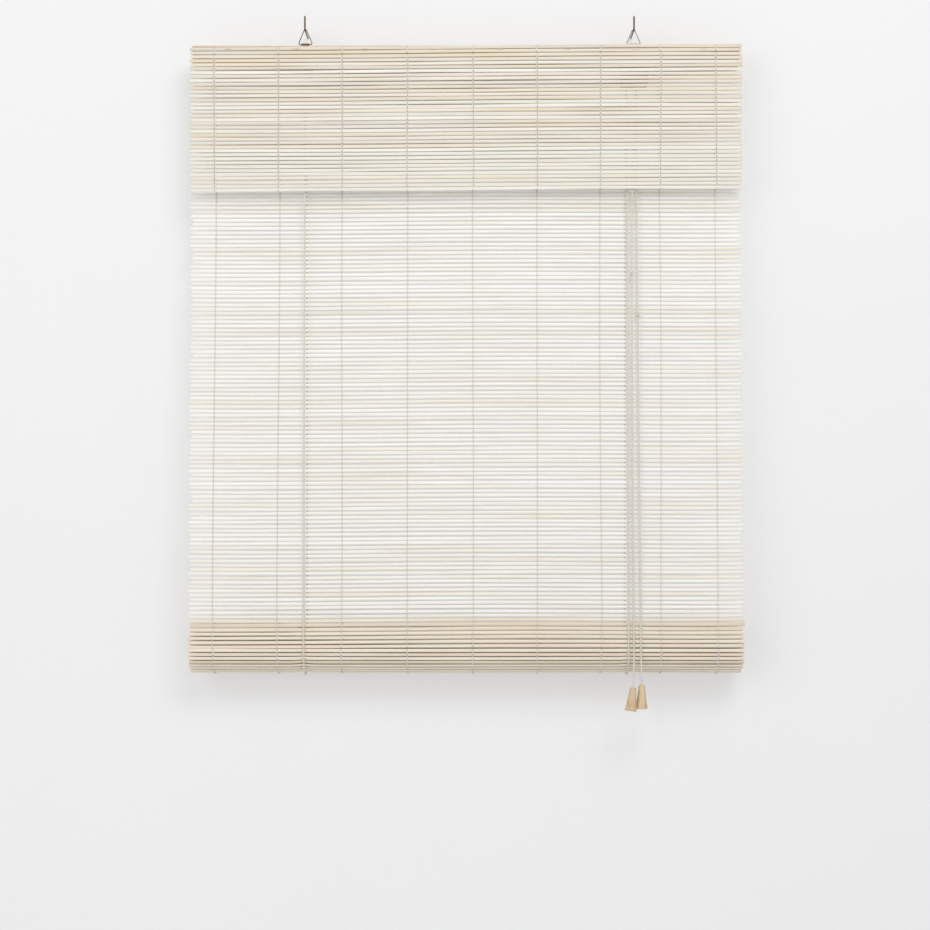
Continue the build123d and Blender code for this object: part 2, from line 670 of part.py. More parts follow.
def straight_cord(x, y, z, side, name):
    """Taut cord from (x, y, z) down to where it touches the front or back of the roll."""
    slope = slope_to_roll(y, z, CORD_PATH_R, side)
    end_y, end_z = touch_point(slope, CORD_PATH_R, side)
    with BuildPart() as cord:
        with BuildSketch(Plane(origin=(x, y, z), x_dir=(1, 0, 0), z_dir=(0, end_y - y, end_z - z))):
            Circle(CORD_R)
        extrude(amount=math.hypot(end_y - y, end_z - z))
    save(cord.part, name)


CORD_JOINT = 0.2                # gap between a cord's straight run and its next stretch
CORD_LEAD = 1.0                 # straight part of a cord below the wheel that turns it
lift_runs = (
    ("left", LEFT_LIFT_X, LEFT_CORD_Y, PULLEY_Z - CORD_LEAD - CORD_JOINT),
    ("right", RIGHT_LIFT_X, RIGHT_CORD_Y, ROLLER_Z - CORD_LEAD - CORD_JOINT),
)
for side, cord_x, front_y, front_z in lift_runs:
    straight_cord(cord_x, front_y, front_z, 1, f"lift_cord_front_{side}")
    straight_cord(cord_x, EYE_Y, BACK_RUN_Z, -1, f"lift_cord_back_{side}")
    front_slope = slope_to_roll(front_y, front_z, CORD_PATH_R, 1)
    back_slope = slope_to_roll(EYE_Y, BACK_RUN_Z, CORD_PATH_R, -1)
    with BuildPart() as cord_loop:
        with BuildLine(Plane(origin=(cord_x, ROLL_Y, ROLL_Z), x_dir=(0, 1, 0), z_dir=(1, 0, 0))) as under:
            CenterArc((0, 0), CORD_PATH_R, 180 - front_slope, 180 - back_slope + front_slope)
        with BuildSketch(Plane(under.line @ 0, z_dir=under.line % 0)):
            Circle(CORD_R)
        sweep()
    save(cord_loop.part, f"cord_loop_{side}")

# The left cord turns over the pulley, crosses to the lock and turns down over its roller.
with BuildPart() as left_cord_crossing:
    with BuildLine(Plane(origin=(0, LEFT_CORD_Y, 0), x_dir=(1, 0, 0), z_dir=(0, -1, 0))) as crossing:
        FilletPolyline(
            (OUTLET_X, OUTLET_Z + CORD_JOINT),
            (OUTLET_X, CROSSING_Z),
            (LEFT_LIFT_X, CROSSING_Z),
            (LEFT_LIFT_X, PULLEY_Z - CORD_LEAD),
            radius=[ROLLER_TURN_R, PULLEY_TURN_R],
        )
    with BuildSketch(Plane(crossing.line @ 0, z_dir=crossing.line % 0)):
        Circle(CORD_R)
    sweep()
save(left_cord_crossing.part, "left_cord_crossing")

# The right cord comes up into the lock and turns down over the roller's other groove.
with BuildPart() as right_cord_turn:
    with BuildLine(Plane(origin=(0, RIGHT_CORD_Y, 0), x_dir=(1, 0, 0), z_dir=(0, -1, 0))) as turn_over:
        FilletPolyline(
            (OUTLET_X, OUTLET_Z + CORD_JOINT),
            (OUTLET_X, CROSSING_Z),
            (RIGHT_LIFT_X, CROSSING_Z),
            (RIGHT_LIFT_X, ROLLER_Z - CORD_LEAD),
            radius=ROLLER_TURN_R - 0.001,
        )
    with BuildSketch(Plane(turn_over.line @ 0, z_dir=turn_over.line % 0)):
        Circle(CORD_R)
    sweep()
save(right_cord_turn.part, "right_cord_turn")

# ======================================================================================
# Pull cords: each hangs taut down the front of the blind and ends in a wooden tassel
# ======================================================================================


def tube_radii(route):
    """Radius of the arc at each inner point of a cord's route. Where the cord bends round
    the front of the roll the arc is the roll's; elsewhere it is as large as fits."""
    points = [Vector(*point) for point in route]
    radii = []
    for number in range(1, len(points) - 1):
        run_in = points[number] - points[number - 1]
        run_out = points[number + 1] - points[number]
        half_turn = math.radians(run_in.get_angle(run_out) / 2)
        radius = 0.45 * min(run_in.length, run_out.length) / math.tan(half_turn)
        radii.append(min(radius, CORD_PATH_R) if number == ROLL_POINT else radius)
    return radii


def tassel(place):
    """Turned bell of wood. The place's origin is where its bore opens into the hollow
    foot, and the place's Z axis points down through the foot."""
    with BuildPart() as bell:
        with BuildSketch(Plane.XZ):
            with BuildLine():
                Polyline(
                    (CORD_R + 0.05, -TASSEL_BORE),
                    (TASSEL_NECK_R - 0.8, -TASSEL_BORE),
                    (TASSEL_NECK_R, 0.8 - TASSEL_BORE),
                    (TASSEL_FOOT_R - 0.4, TASSEL_HEIGHT - TASSEL_BORE - 2.0),
                    (TASSEL_FOOT_R, TASSEL_HEIGHT - TASSEL_BORE - 1.2),
                    (TASSEL_FOOT_R - 0.8, TASSEL_HEIGHT - TASSEL_BORE),
                    (TASSEL_FOOT_R - TASSEL_WALL, TASSEL_HEIGHT - TASSEL_BORE),
                    (STOP_KNOT_R + 0.7, 0),
                    (CORD_R + 0.05, 0),
                    close=True,
                )
            make_face()
        turned = revolve(axis=Axis.Z, mode=Mode.PRIVATE)
        with Locations(place.location):
            add(turned)
    return bell.part


pull_cords = (
    ("left", LEFT_PULL_ROUTE, LEFT_KNOT_DROP),
    ("right", RIGHT_PULL_ROUTE, RIGHT_KNOT_DROP),
)
for side, route, knot_drop in pull_cords:
    radii = tube_radii(route)
    with BuildPart() as pull_cord:
        with BuildLine() as pull_line:
            FilletPolyline(*route, radius=radii)
        with BuildSketch(Plane(pull_line.line @ 0, z_dir=pull_line.line % 0)):
            Circle(CORD_R)
        sweep()
    save(pull_cord.part, f"pull_cord_{side}")
    path = pull_line.wire()
    swept = math.pi * CORD_R**2 * path.length
    print(f"pull_cord_{side}: {path.length:.1f} mm long, arc radii", [round(radius) for radius in radii])
    print(f"  volume over section times length: {pull_cord.part.volume / swept:.4f}")
    at_knot = knot_drop / path.length
    save(knot(Plane(path @ at_knot, z_dir=path % at_knot)), f"cord_knot_{side}")
    cord_end = Plane(route[-1], x_dir=(1, 0, 0), z_dir=pull_line.line % 1)
    save(tassel(cord_end), f"tassel_{side}")
    save(round_knot(cord_end, STOP_KNOT_R, STOP_KNOT_HEIGHT), f"tassel_knot_{side}")
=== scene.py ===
"""Looks of a woven roll-up blind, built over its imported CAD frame."""

import json
import math
import random

import bmesh
import bpy
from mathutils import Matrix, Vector


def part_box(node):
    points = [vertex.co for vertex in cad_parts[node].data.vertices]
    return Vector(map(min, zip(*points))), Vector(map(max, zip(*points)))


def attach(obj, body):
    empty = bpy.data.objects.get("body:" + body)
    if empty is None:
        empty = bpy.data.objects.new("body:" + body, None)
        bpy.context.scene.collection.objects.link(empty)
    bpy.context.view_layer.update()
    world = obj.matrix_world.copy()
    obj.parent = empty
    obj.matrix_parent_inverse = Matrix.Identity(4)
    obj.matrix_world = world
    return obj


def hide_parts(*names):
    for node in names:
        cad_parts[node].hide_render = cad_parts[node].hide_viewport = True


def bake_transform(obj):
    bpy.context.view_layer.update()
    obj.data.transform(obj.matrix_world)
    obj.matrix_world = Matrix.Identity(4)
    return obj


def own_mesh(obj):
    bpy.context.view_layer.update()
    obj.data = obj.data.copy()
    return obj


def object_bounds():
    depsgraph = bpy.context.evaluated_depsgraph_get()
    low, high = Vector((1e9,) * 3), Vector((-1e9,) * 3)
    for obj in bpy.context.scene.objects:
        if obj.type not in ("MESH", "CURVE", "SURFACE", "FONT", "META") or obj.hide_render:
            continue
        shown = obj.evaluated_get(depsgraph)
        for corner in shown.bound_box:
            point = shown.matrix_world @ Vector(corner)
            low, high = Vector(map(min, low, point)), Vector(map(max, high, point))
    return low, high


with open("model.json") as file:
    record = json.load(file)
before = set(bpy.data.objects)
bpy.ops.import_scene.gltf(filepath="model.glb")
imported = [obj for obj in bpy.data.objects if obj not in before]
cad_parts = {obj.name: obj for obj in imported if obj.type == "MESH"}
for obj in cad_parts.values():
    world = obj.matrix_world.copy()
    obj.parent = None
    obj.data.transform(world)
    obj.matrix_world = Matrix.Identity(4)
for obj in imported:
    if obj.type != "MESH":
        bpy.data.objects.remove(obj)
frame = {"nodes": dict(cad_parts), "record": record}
cad_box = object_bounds()

MM = 0.001
rng = random.Random(41)

# Sizes of the weave, as in the CAD model.
SLAT_LENGTH = 800 * MM
SLAT_HEIGHT = 4.5 * MM
SLAT_THICKNESS = 1.6 * MM
CURTAIN_PITCH = 6.2 * MM
VALANCE_PITCH = 5.7 * MM
FIXED_ROWS = 2                  # of the valance, stapled to the headrail
STRIP_THICKNESS = 1.6 * MM
CURTAIN_STRIP = 4.7 * MM        # height of a visible strip before its random spread
VALANCE_STRIP = 4.9 * MM
INNER_STRIP = 4.5 * MM
STATIONS = 22                   # cross-sections along a strip
INNER_STATIONS = 6              # along a strip that lies deep in the roll
STRING_X = [x * MM for x in (-365, -272, -180, -85, 10, 103, 195, 282, 363)]  # from the woven middle
LAYER_PITCH = 3.4 * MM
CORD_R = 1.25 * MM

# Places taken from the CAD nodes.
curtain_low, curtain_high = (Vector(corner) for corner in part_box("curtain_slats"))
valance_low, valance_high = (Vector(corner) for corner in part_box("valance_slats"))
valance_top_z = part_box("valance_top_slats")[1][2]
valance_y = (valance_low.y + valance_high.y) / 2
BLIND_X = (curtain_low.x + curtain_high.x) / 2
roll_spin = next(j for j in frame["record"]["behaviour"]["joints"] if j["name"] == "roll_spin")
roll_lift = next(j for j in frame["record"]["behaviour"]["joints"] if j["name"] == "roll_lift")
ROLL_AXIS = Vector((BLIND_X, roll_spin["pos_m"][1], roll_spin["pos_m"][2]))
UP = Vector(roll_lift["axis"]).normalized()
X_AXIS = Vector((1, 0, 0))
INTO_WALL = UP.cross(X_AXIS)
SLAT_PATH_R = 36.2 * MM         # from the roll's axis to the middle of its outermost slats
CURTAIN_ROWS = 139
OUTER_ROWS = 35
WOUND_ROWS = 171
VALANCE_ROWS = 37
curtain_end = ROLL_AXIS - INTO_WALL * SLAT_PATH_R


# --------------------------------------------------------------------------------------
# Camera: straight on, about three metres from the wall
# --------------------------------------------------------------------------------------
CAMERA_DISTANCE = 3.0
VIEW_WIDTH = 1.350
camera_data = bpy.data.cameras.new("camera")
camera_data.sensor_width = 36.0
camera_data.lens = 36.0 * CAMERA_DISTANCE / VIEW_WIDTH
camera = bpy.data.objects.new("camera", camera_data)
camera.location = (-0.0065, -0.06 - CAMERA_DISTANCE, -0.632)
camera.rotation_euler = (math.radians(90), 0, 0)
bpy.context.collection.objects.link(camera)
bpy.context.scene.camera = camera


# --------------------------------------------------------------------------------------
# Node helpers and materials
# --------------------------------------------------------------------------------------
def new_material(name, roughness, metallic=0.0):
    material = bpy.data.materials.new(name)
    material.use_nodes = True
    shader = material.node_tree.nodes["Principled BSDF"]
    shader.inputs["Roughness"].default_value = roughness
    shader.inputs["Metallic"].default_value = metallic
    return material, material.node_tree, shader


def scaled_position(tree, scale):
    """Object coordinates stretched by scale, for grain that runs along one axis."""
    coordinates = tree.nodes.new("ShaderNodeTexCoord")
    mapping = tree.nodes.new("ShaderNodeMapping")
    mapping.inputs["Scale"].default_value = scale
    tree.links.new(coordinates.outputs["Object"], mapping.inputs["Vector"])
    return mapping.outputs["Vector"]


def noise(tree, vector, scale, detail=4.0, roughness=0.6):
    node = tree.nodes.new("ShaderNodeTexNoise")
    node.inputs["Scale"].default_value = scale
    node.inputs["Detail"].default_value = detail
    node.inputs["Roughness"].default_value = roughness
    tree.links.new(vector, node.inputs["Vector"])
    return node.outputs["Fac"]


def ramp(tree, factor, *stops):
    node = tree.nodes.new("ShaderNodeValToRGB")
    elements = node.color_ramp.elements
    while len(elements) < len(stops):
        elements.new(0.5)
    for element, (position, colour) in zip(elements, stops):
        element.position = position
        element.color = (*colour, 1.0)
    tree.links.new(factor, node.inputs["Fac"])
    return node.outputs["Color"]


def mix(tree, factor, first, second, blend="MIX"):
    node = tree.nodes.new("ShaderNodeMix")
    node.data_type = "RGBA"
    node.blend_type = blend
    for value, socket in ((factor, node.inputs[0]), (first, node.inputs[6]), (second, node.inputs[7])):
        if isinstance(value, bpy.types.NodeSocket):
            tree.links.new(value, socket)
        elif isinstance(value, tuple):
            socket.default_value = (*value, 1.0)
        else:
            socket.default_value = value
    return node.outputs[2]


def map_range(tree, value, low, high):
    node = tree.nodes.new("ShaderNodeMapRange")
    node.inputs["From Min"].default_value = 0.3
    node.inputs["From Max"].default_value = 0.7
    node.inputs["To Min"].default_value = low
    node.inputs["To Max"].default_value = high
    tree.links.new(value, node.inputs["Value"])
    return node.outputs["Result"]


def bump(tree, shader, height, strength, distance):
    node = tree.nodes.new("ShaderNodeBump")
    node.inputs["Strength"].default_value = strength
    node.inputs["Distance"].default_value = distance
    tree.links.new(height, node.inputs["Height"])
    tree.links.new(node.outputs["Normal"], shader.inputs["Normal"])


def bamboo(name, dark, middle, light, blush):
    """Split bamboo: each strip has its own tone, with fine fibres along it and a few longer streaks of
    blush."""
    material, tree, shader = new_material(name, 0.55)
    tone = tree.nodes.new("ShaderNodeAttribute")
    tone.attribute_name = "tone"
    warmth = tree.nodes.new("ShaderNodeAttribute")
    warmth.attribute_name = "warmth"
    fibre = noise(tree, scaled_position(tree, (9, 900, 900)), 1.0, 5.0, 0.7)
    cloud = noise(tree, scaled_position(tree, (3.5, 60, 60)), 1.0, 2.0)
    base = ramp(tree, tone.outputs["Fac"], (0.0, dark), (0.5, middle), (1.0, light))
    streaks = ramp(tree, cloud, (0.42, (0.0, 0.0, 0.0)), (0.68, (1.0, 1.0, 1.0)))
    blushed = mix(tree, mix(tree, 1.0, streaks, warmth.outputs["Color"], "MULTIPLY"), base, blush)
    fibres = ramp(tree, fibre, (0.30, (0.80, 0.77, 0.71)), (0.52, (1.0, 1.0, 1.0)))
    colour = mix(tree, 0.85, blushed, fibres, "MULTIPLY")
    tree.links.new(colour, shader.inputs["Base Color"])
    tree.links.new(map_range(tree, fibre, 0.62, 0.42), shader.inputs["Roughness"])
    bump(tree, shader, fibre, 0.35, 0.0004)
    return material


def cotton(name, dark, light, twist_scale):
    """Twisted cotton: slanting ply strands, darker in the grooves between them as painted shade, with fuzzy
    light and dark flecks.
    """
    material, tree, shader = new_material(name, 0.9)
    position = scaled_position(tree, (1.0, 1.0, 0.55))
    wave = tree.nodes.new("ShaderNodeTexWave")
    wave.bands_direction = "DIAGONAL"
    wave.inputs["Scale"].default_value = twist_scale
    wave.inputs["Distortion"].default_value = 2.5
    wave.inputs["Detail"].default_value = 2.0
    wave.inputs["Detail Scale"].default_value = 3.0
    tree.links.new(position, wave.inputs["Vector"])
    fleck = noise(tree, scaled_position(tree, (1, 1, 1)), 900.0, 3.0)
    # Painted shade: the colour goes to the dark tone in the grooves of the twist, where the bump sinks.
    ply_colour_with_painted_shade = ramp(tree, wave.outputs["Fac"], (0.05, dark), (0.55, light))
    flecks = ramp(tree, fleck, (0.35, (0.86, 0.84, 0.80)), (0.6, (1.0, 1.0, 1.0)))
    tree.links.new(mix(tree, 0.8, ply_colour_with_painted_shade, flecks, "MULTIPLY"), shader.inputs["Base Color"])
    tree.links.new(map_range(tree, fleck, 0.95, 0.8), shader.inputs["Roughness"])
    shader.inputs["Sheen Weight"].default_value = 0.25
    bump(tree, shader, wave.outputs["Fac"], 0.5, 0.0003)
    return material


def worn_metal(name, base, worn, low, high):
    """Bent or stamped metal: clouded tone, fine scratches and uneven polish."""
    material, tree, shader = new_material(name, 0.4, 1.0)
    cloud = noise(tree, scaled_position(tree, (1, 1, 1)), 160.0, 5.0, 0.65)
    scratch = noise(tree, scaled_position(tree, (60, 1400, 1400)), 1.0, 3.0)
    toned = ramp(tree, cloud, (0.35, base), (0.72, worn))
    scratched = ramp(tree, scratch, (0.35, (0.82, 0.82, 0.82)), (0.55, (1.0, 1.0, 1.0)))
    tree.links.new(mix(tree, 0.7, toned, scratched, "MULTIPLY"), shader.inputs["Base Color"])
    tree.links.new(map_range(tree, cloud, low, high), shader.inputs["Roughness"])
    bump(tree, shader, scratch, 0.12, 0.0002)
    return material


def turned_wood(name, dark, light, grain_scale, ring_scale):
    """Planed or turned wood: long grain in bands, pores and a soft wax sheen."""
    material, tree, shader = new_material(name, 0.45)
    grain = noise(tree, scaled_position(tree, grain_scale), 1.0, 6.0, 0.65)
    bands = noise(tree, scaled_position(tree, ring_scale), 1.0, 2.0)
    toned = ramp(tree, bands, (0.32, dark), (0.66, light))
    pores = ramp(tree, grain, (0.30, (0.74, 0.68, 0.60)), (0.50, (1.0, 1.0, 1.0)))
    tree.links.new(mix(tree, 0.8, toned, pores, "MULTIPLY"), shader.inputs["Base Color"])
    tree.links.new(map_range(tree, grain, 0.6, 0.38), shader.inputs["Roughness"])
    bump(tree, shader, grain, 0.25, 0.0003)
    return material


curtain_bamboo = bamboo(
    "curtain_bamboo", (0.86, 0.83, 0.76), (0.91, 0.89, 0.84), (0.94, 0.93, 0.90), (0.88, 0.80, 0.66)
)
valance_bamboo = bamboo(
    "valance_bamboo", (0.72, 0.66, 0.57), (0.82, 0.78, 0.70), (0.89, 0.87, 0.81), (0.80, 0.68, 0.49)
)
roll_bamboo = bamboo(
    "roll_bamboo", (0.72, 0.61, 0.47), (0.85, 0.77, 0.64), (0.92, 0.87, 0.77), (0.84, 0.67, 0.53)
)
# The curtain's strings are the same cotton as the pale strings of the valance and roll; their greyer colour
# is painted shade, as they look against the bright curtain.
painted_shade_string_cotton = cotton("painted_shade_string_cotton", (0.66, 0.63, 0.56), (0.84, 0.81, 0.74), 420.0)
pale_cotton = cotton("pale_cotton", (0.82, 0.79, 0.71), (0.95, 0.92, 0.86), 420.0)
cord_cotton = cotton("cord_cotton", (0.58, 0.55, 0.48), (0.80, 0.77, 0.70), 260.0)
hook_bronze = worn_metal("hook_bronze", (0.10, 0.070, 0.045), (0.26, 0.19, 0.12), 0.30, 0.48)
# The left ring and strap are darker and browner than the right ring and strap.
darker_ring_metal = worn_metal("darker_ring_metal", (0.20, 0.155, 0.105), (0.40, 0.33, 0.24), 0.28, 0.44)
darker_strap_metal = worn_metal("darker_strap_metal", (0.16, 0.105, 0.065), (0.34, 0.24, 0.15), 0.34, 0.52)
ring_steel = worn_metal("ring_steel", (0.30, 0.29, 0.27), (0.50, 0.48, 0.45), 0.28, 0.44)
strap_steel = worn_metal("strap_steel", (0.40, 0.37, 0.32), (0.60, 0.56, 0.50), 0.34, 0.52)
lock_brass = worn_metal("lock_brass", (0.42, 0.32, 0.15), (0.62, 0.50, 0.27), 0.28, 0.46)
wheel_brass = worn_metal("wheel_brass", (0.50, 0.38, 0.18), (0.72, 0.58, 0.32), 0.22, 0.40)
pin_steel = worn_metal("pin_steel", (0.42, 0.41, 0.39), (0.66, 0.65, 0.62), 0.25, 0.42)
GRAIN_ALONG_X = ((14, 420, 420), (2.5, 70, 70))
GRAIN_ALONG_Z = ((700, 700, 60), (160, 160, 18))
rail_wood = turned_wood("rail_wood", (0.58, 0.44, 0.29), (0.76, 0.64, 0.47), *GRAIN_ALONG_X)
batten_wood = turned_wood("batten_wood", (0.60, 0.47, 0.31), (0.78, 0.66, 0.49), *GRAIN_ALONG_X)
tassel_wood = turned_wood("tassel_wood", (0.55, 0.40, 0.22), (0.73, 0.58, 0.38), *GRAIN_ALONG_Z)


# --------------------------------------------------------------------------------------
# Mesh helpers
# --------------------------------------------------------------------------------------
def mesh_object(name, points, faces, material, smooth=True, tones=None):
    mesh = bpy.data.meshes.new(name)
    mesh.from_pydata([tuple(point) for point in points], [], faces)
    mesh.polygons.foreach_set("use_smooth", [smooth] * len(mesh.polygons))
    if tones:
        for attribute_name, values in zip(("tone", "warmth"), zip(*tones)):
            attribute = mesh.attributes.new(attribute_name, "FLOAT", "POINT")
            attribute.data.foreach_set("value", values)
    mesh.materials.append(material)
    mesh.update()
    piece = bpy.data.objects.new(name, mesh)
    bpy.context.collection.objects.link(piece)
    return piece


def skin(rings, first_face=0):
    """Quads between rings of equal size, closed at both ends."""
    sides = len(rings[0])
    faces = []
    for ring in range(len(rings) - 1):
        for side in range(sides):
            low = first_face + ring * sides + side
            low_next = first_face + ring * sides + (side + 1) % sides
            faces.append((low, low_next, low_next + sides, low + sides))
    faces.append(tuple(reversed(range(first_face, first_face + sides))))
    last = first_face + (len(rings) - 1) * sides
    faces.append(tuple(range(last, last + sides)))
    return faces


PINCH_DEPTH = 1.5 * MM          # how far a taut cord presses a strip in
PINCH_REACH = 9 * MM
NODE_HEIGHT = 0.22 * MM         # swelling of a strip where the bamboo had a node
NODE_REACH = 9 * MM


def curtain_sway(x):
    """Height by which every row of the curtain stands off level at x, from its middle."""
    return 0.003 * x + 0.7 * MM * math.sin(x * 9.0 + 1.2)


def valance_sway(x):
    return 0.0065 * x + 0.4 * MM * math.sin(x * 8.0 + 0.4)


class Weave:
    """Collects the strips of one weave, each with its own shape, tone and warmth."""

    def __init__(self, height, thickness, stations, ragged, unevenness, sway=None, pinches=()):
        self.height = height
        self.unevenness = unevenness
        self.sway = sway
        self.pinches = pinches
        self.thickness = thickness
        self.stations = stations
        self.ragged = ragged
        self.points = []
        self.faces = []
        self.tones = []

    def strip(self, centre, rise, depth, aged=0.0):
        """One split strip along X; rise and depth are its width's and thickness's axes, and
        aged is how far its colour has gone to the blush."""
        half = SLAT_LENGTH / 2
        left = -half + rng.uniform(-1.0, 1.0) * self.ragged
        right = half + rng.uniform(-1.0, 1.0) * self.ragged
        width = self.height * rng.uniform(0.92, 1.05)
        thick = self.thickness * rng.uniform(0.88, 1.0)
        wave_length = rng.uniform(0.35, 0.75)
        phase = rng.uniform(0.0, 6.28)
        wander = rng.uniform(0.3, 1.6) * self.unevenness
        step = rng.uniform(-1.0, 1.0) * self.unevenness
        swellings = [rng.uniform(left, right) for _ in range(rng.randint(1, 3))]
        tone = min(1.0, max(0.0, rng.gauss(0.52, 0.2) - 0.25 * aged))
        warmth = max(rng.random() ** 2.2, aged)
        spread = [left + 0.25 * MM, left + 1.1 * MM]
        spread += [left + (right - left) * (k + 1) / self.stations for k in range(self.stations - 1)]
        for pinch in self.pinches:
            spread += [pinch + share * PINCH_REACH for share in (-1.2, -0.6, 0, 0.6, 1.2)]
        spread += [right - 1.1 * MM, right - 0.25 * MM]
        spread.sort()
        rings = []
        for x in spread:
            local_width = width * (1.0 + 0.05 * math.sin(x * 31.0 + phase * 2.0))
            for swelling in swellings:
                local_width += NODE_HEIGHT * math.exp(-((x - swelling) / NODE_REACH) ** 2)
            shift = step + wander * math.sin(6.28 * x / wave_length + phase)
            if self.sway:
                shift += self.sway(x)
            sunk = 0.0
            for pinch in self.pinches:
                sunk += PINCH_DEPTH * math.exp(-((x - pinch) / PINCH_REACH) ** 2)
            end = 0.72 if x in (spread[0], spread[-1]) else 1.0
            ring = []
            for across, deep in SECTION:
                at = centre + X_AXIS * x + rise * (shift + across * local_width / 2 * end)
                ring.append(at + depth * (deep * thick / 2 * end + sunk))
            rings.append(ring)
        self.faces += skin(rings, len(self.points))
        for ring in rings:
            self.points += ring
        self.tones += [(tone, warmth)] * (len(rings) * len(SECTION))

    def finish(self, name, material):
        return mesh_object(name, self.points, self.faces, material, tones=self.tones)


# Cross-section of a split strip: rounded edges, a little fuller at the front.
SECTION = (
    (-1.0, 0.0), (-0.86, -0.62), (-0.42, -0.96), (0.42, -0.96), (0.86, -0.62),
    (1.0, 0.0), (0.86, 0.62), (0.42, 0.92), (-0.42, 0.92), (-0.86, 0.62),
)


def tube(name, path, radius, sides, material, strands=0, lay=6 * MM):
    """Tube along a path, with the relief of twisted strands where strands is given."""
    tangents = []
    for k, _ in enumerate(path):
        ahead = path[min(k + 1, len(path) - 1)]
        behind = path[max(k - 1, 0)]
        tangents.append((ahead - behind).normalized())
    normal = tangents[0].orthogonal().normalized()
    rings = []
    travelled = 0.0
    for k, point in enumerate(path):
        if k:
            travelled += (point - path[k - 1]).length
            normal = (normal - tangents[k] * normal.dot(tangents[k])).normalized()
        side_axis = tangents[k].cross(normal)
        ring = []
        for side in range(sides):
            angle = 2 * math.pi * side / sides
            reach = radius
            if strands:
                turn = strands * (angle - 2 * math.pi * travelled / lay)
                reach *= 0.95 + 0.05 * math.cos(turn)
            ring.append(point + normal * (reach * math.cos(angle)) + side_axis * (reach * math.sin(angle)))
        rings.append(ring)
    points = [point for ring in rings for point in ring]
    return mesh_object(name, points, skin(rings), material)


def even_path(points, step):
    """The same line, with points about a step apart."""
    path = [points[0]]
    for start, end in zip(points, points[1:]):
        count = max(1, round((end - start).length / step))
        path += [start.lerp(end, (k + 1) / count) for k in range(count)]
    return path


def revolve(name, profile, centre, axis, segments, material):
    """Turned piece: profile of (radius, distance along the axis) pairs, closed in a loop."""
    turn = Vector((0, 0, 1)).rotation_difference(axis.normalized()).to_matrix()
    points = []
    faces = []
    count = len(profile)
    for segment in range(segments):
        angle = 2 * math.pi * segment / segments
        for radius, along in profile:
            local = Vector((radius * math.cos(angle), radius * math.sin(angle), along))
            points.append(centre + turn @ local)
    for segment in range(segments):
        here = segment * count
        after = ((segment + 1) % segments) * count
        for k in range(count):
            k_next = (k + 1) % count
            faces.append((here + k, after + k, after + k_next, here + k_next))
    piece = mesh_object(name, points, faces, material)
    work = bmesh.new()
    work.from_mesh(piece.data)
    bmesh.ops.recalc_face_normals(work, faces=work.faces)
    work.to_mesh(piece.data)
    work.free()
    return piece


# --------------------------------------------------------------------------------------
# Woven slats
# --------------------------------------------------------------------------------------
ROWS_BEFORE_ROLL = 7            # at the curtain's foot, coloured like the roll
AGED_ROWS = 4                   # of the flap, under the fixed rows
AGED = 0.9                      # how far those rows have yellowed
curtain = Weave(CURTAIN_STRIP, STRIP_THICKNESS, STATIONS, 2.8 * MM, 0.22 * MM, curtain_sway)
curtain_foot = Weave(CURTAIN_STRIP, STRIP_THICKNESS, STATIONS, 2.0 * MM, 0.22 * MM, curtain_sway)
curtain_rows = []
for row in range(CURTAIN_ROWS):
    place = curtain_end + UP * ((row + 0.5) * CURTAIN_PITCH)
    curtain_rows.append((place, UP, INTO_WALL))
    weave = curtain_foot if row < ROWS_BEFORE_ROLL else curtain
    weave.strip(place, UP, INTO_WALL)
curtain_mesh = curtain.finish("curtain_weave", curtain_bamboo)
curtain_foot_mesh = curtain_foot.finish("curtain_foot_weave", roll_bamboo)

valance_rows = []
for row in range(VALANCE_ROWS):
    z = valance_top_z - SLAT_HEIGHT / 2 - row * VALANCE_PITCH
    valance_rows.append((Vector((BLIND_X, valance_y, z)), Vector((0, 0, 1)), Vector((0, 1, 0))))
top_weave = Weave(VALANCE_STRIP, STRIP_THICKNESS, STATIONS, 1.4 * MM, 0.22 * MM, valance_sway)
for place, rise, depth in valance_rows[:FIXED_ROWS]:
    top_weave.strip(place, rise, depth, AGED)
top_mesh = top_weave.finish("valance_top_weave", valance_bamboo)
flap_weave = Weave(VALANCE_STRIP, STRIP_THICKNESS, STATIONS, 1.4 * MM, 0.26 * MM, valance_sway)
for row, (place, rise, depth) in enumerate(valance_rows[FIXED_ROWS:]):
    flap_weave.strip(place, rise, depth, AGED if row < AGED_ROWS else 0.0)
flap_mesh = flap_weave.finish("valance_weave", valance_bamboo)


def wound_row(distance):
    """Place, width axis and thickness axis of a strip at that distance along the roll."""
    travelled = 0.0
    half_turn = 0
    radius = SLAT_PATH_R
    while travelled + math.pi * radius < distance:
        travelled += math.pi * radius
        half_turn += 1
        radius = SLAT_PATH_R - half_turn * LAYER_PITCH / 2
    turned = half_turn * math.pi + (distance - travelled) / radius
    centre = LAYER_PITCH / 2 * (half_turn % 2)
    place = ROLL_AXIS + INTO_WALL * (centre - radius * math.cos(turned)) - UP * (radius * math.sin(turned))
    rise = UP * math.cos(turned) - INTO_WALL * math.sin(turned)
    depth = INTO_WALL * math.cos(turned) + UP * math.sin(turned)
    return place, rise, depth


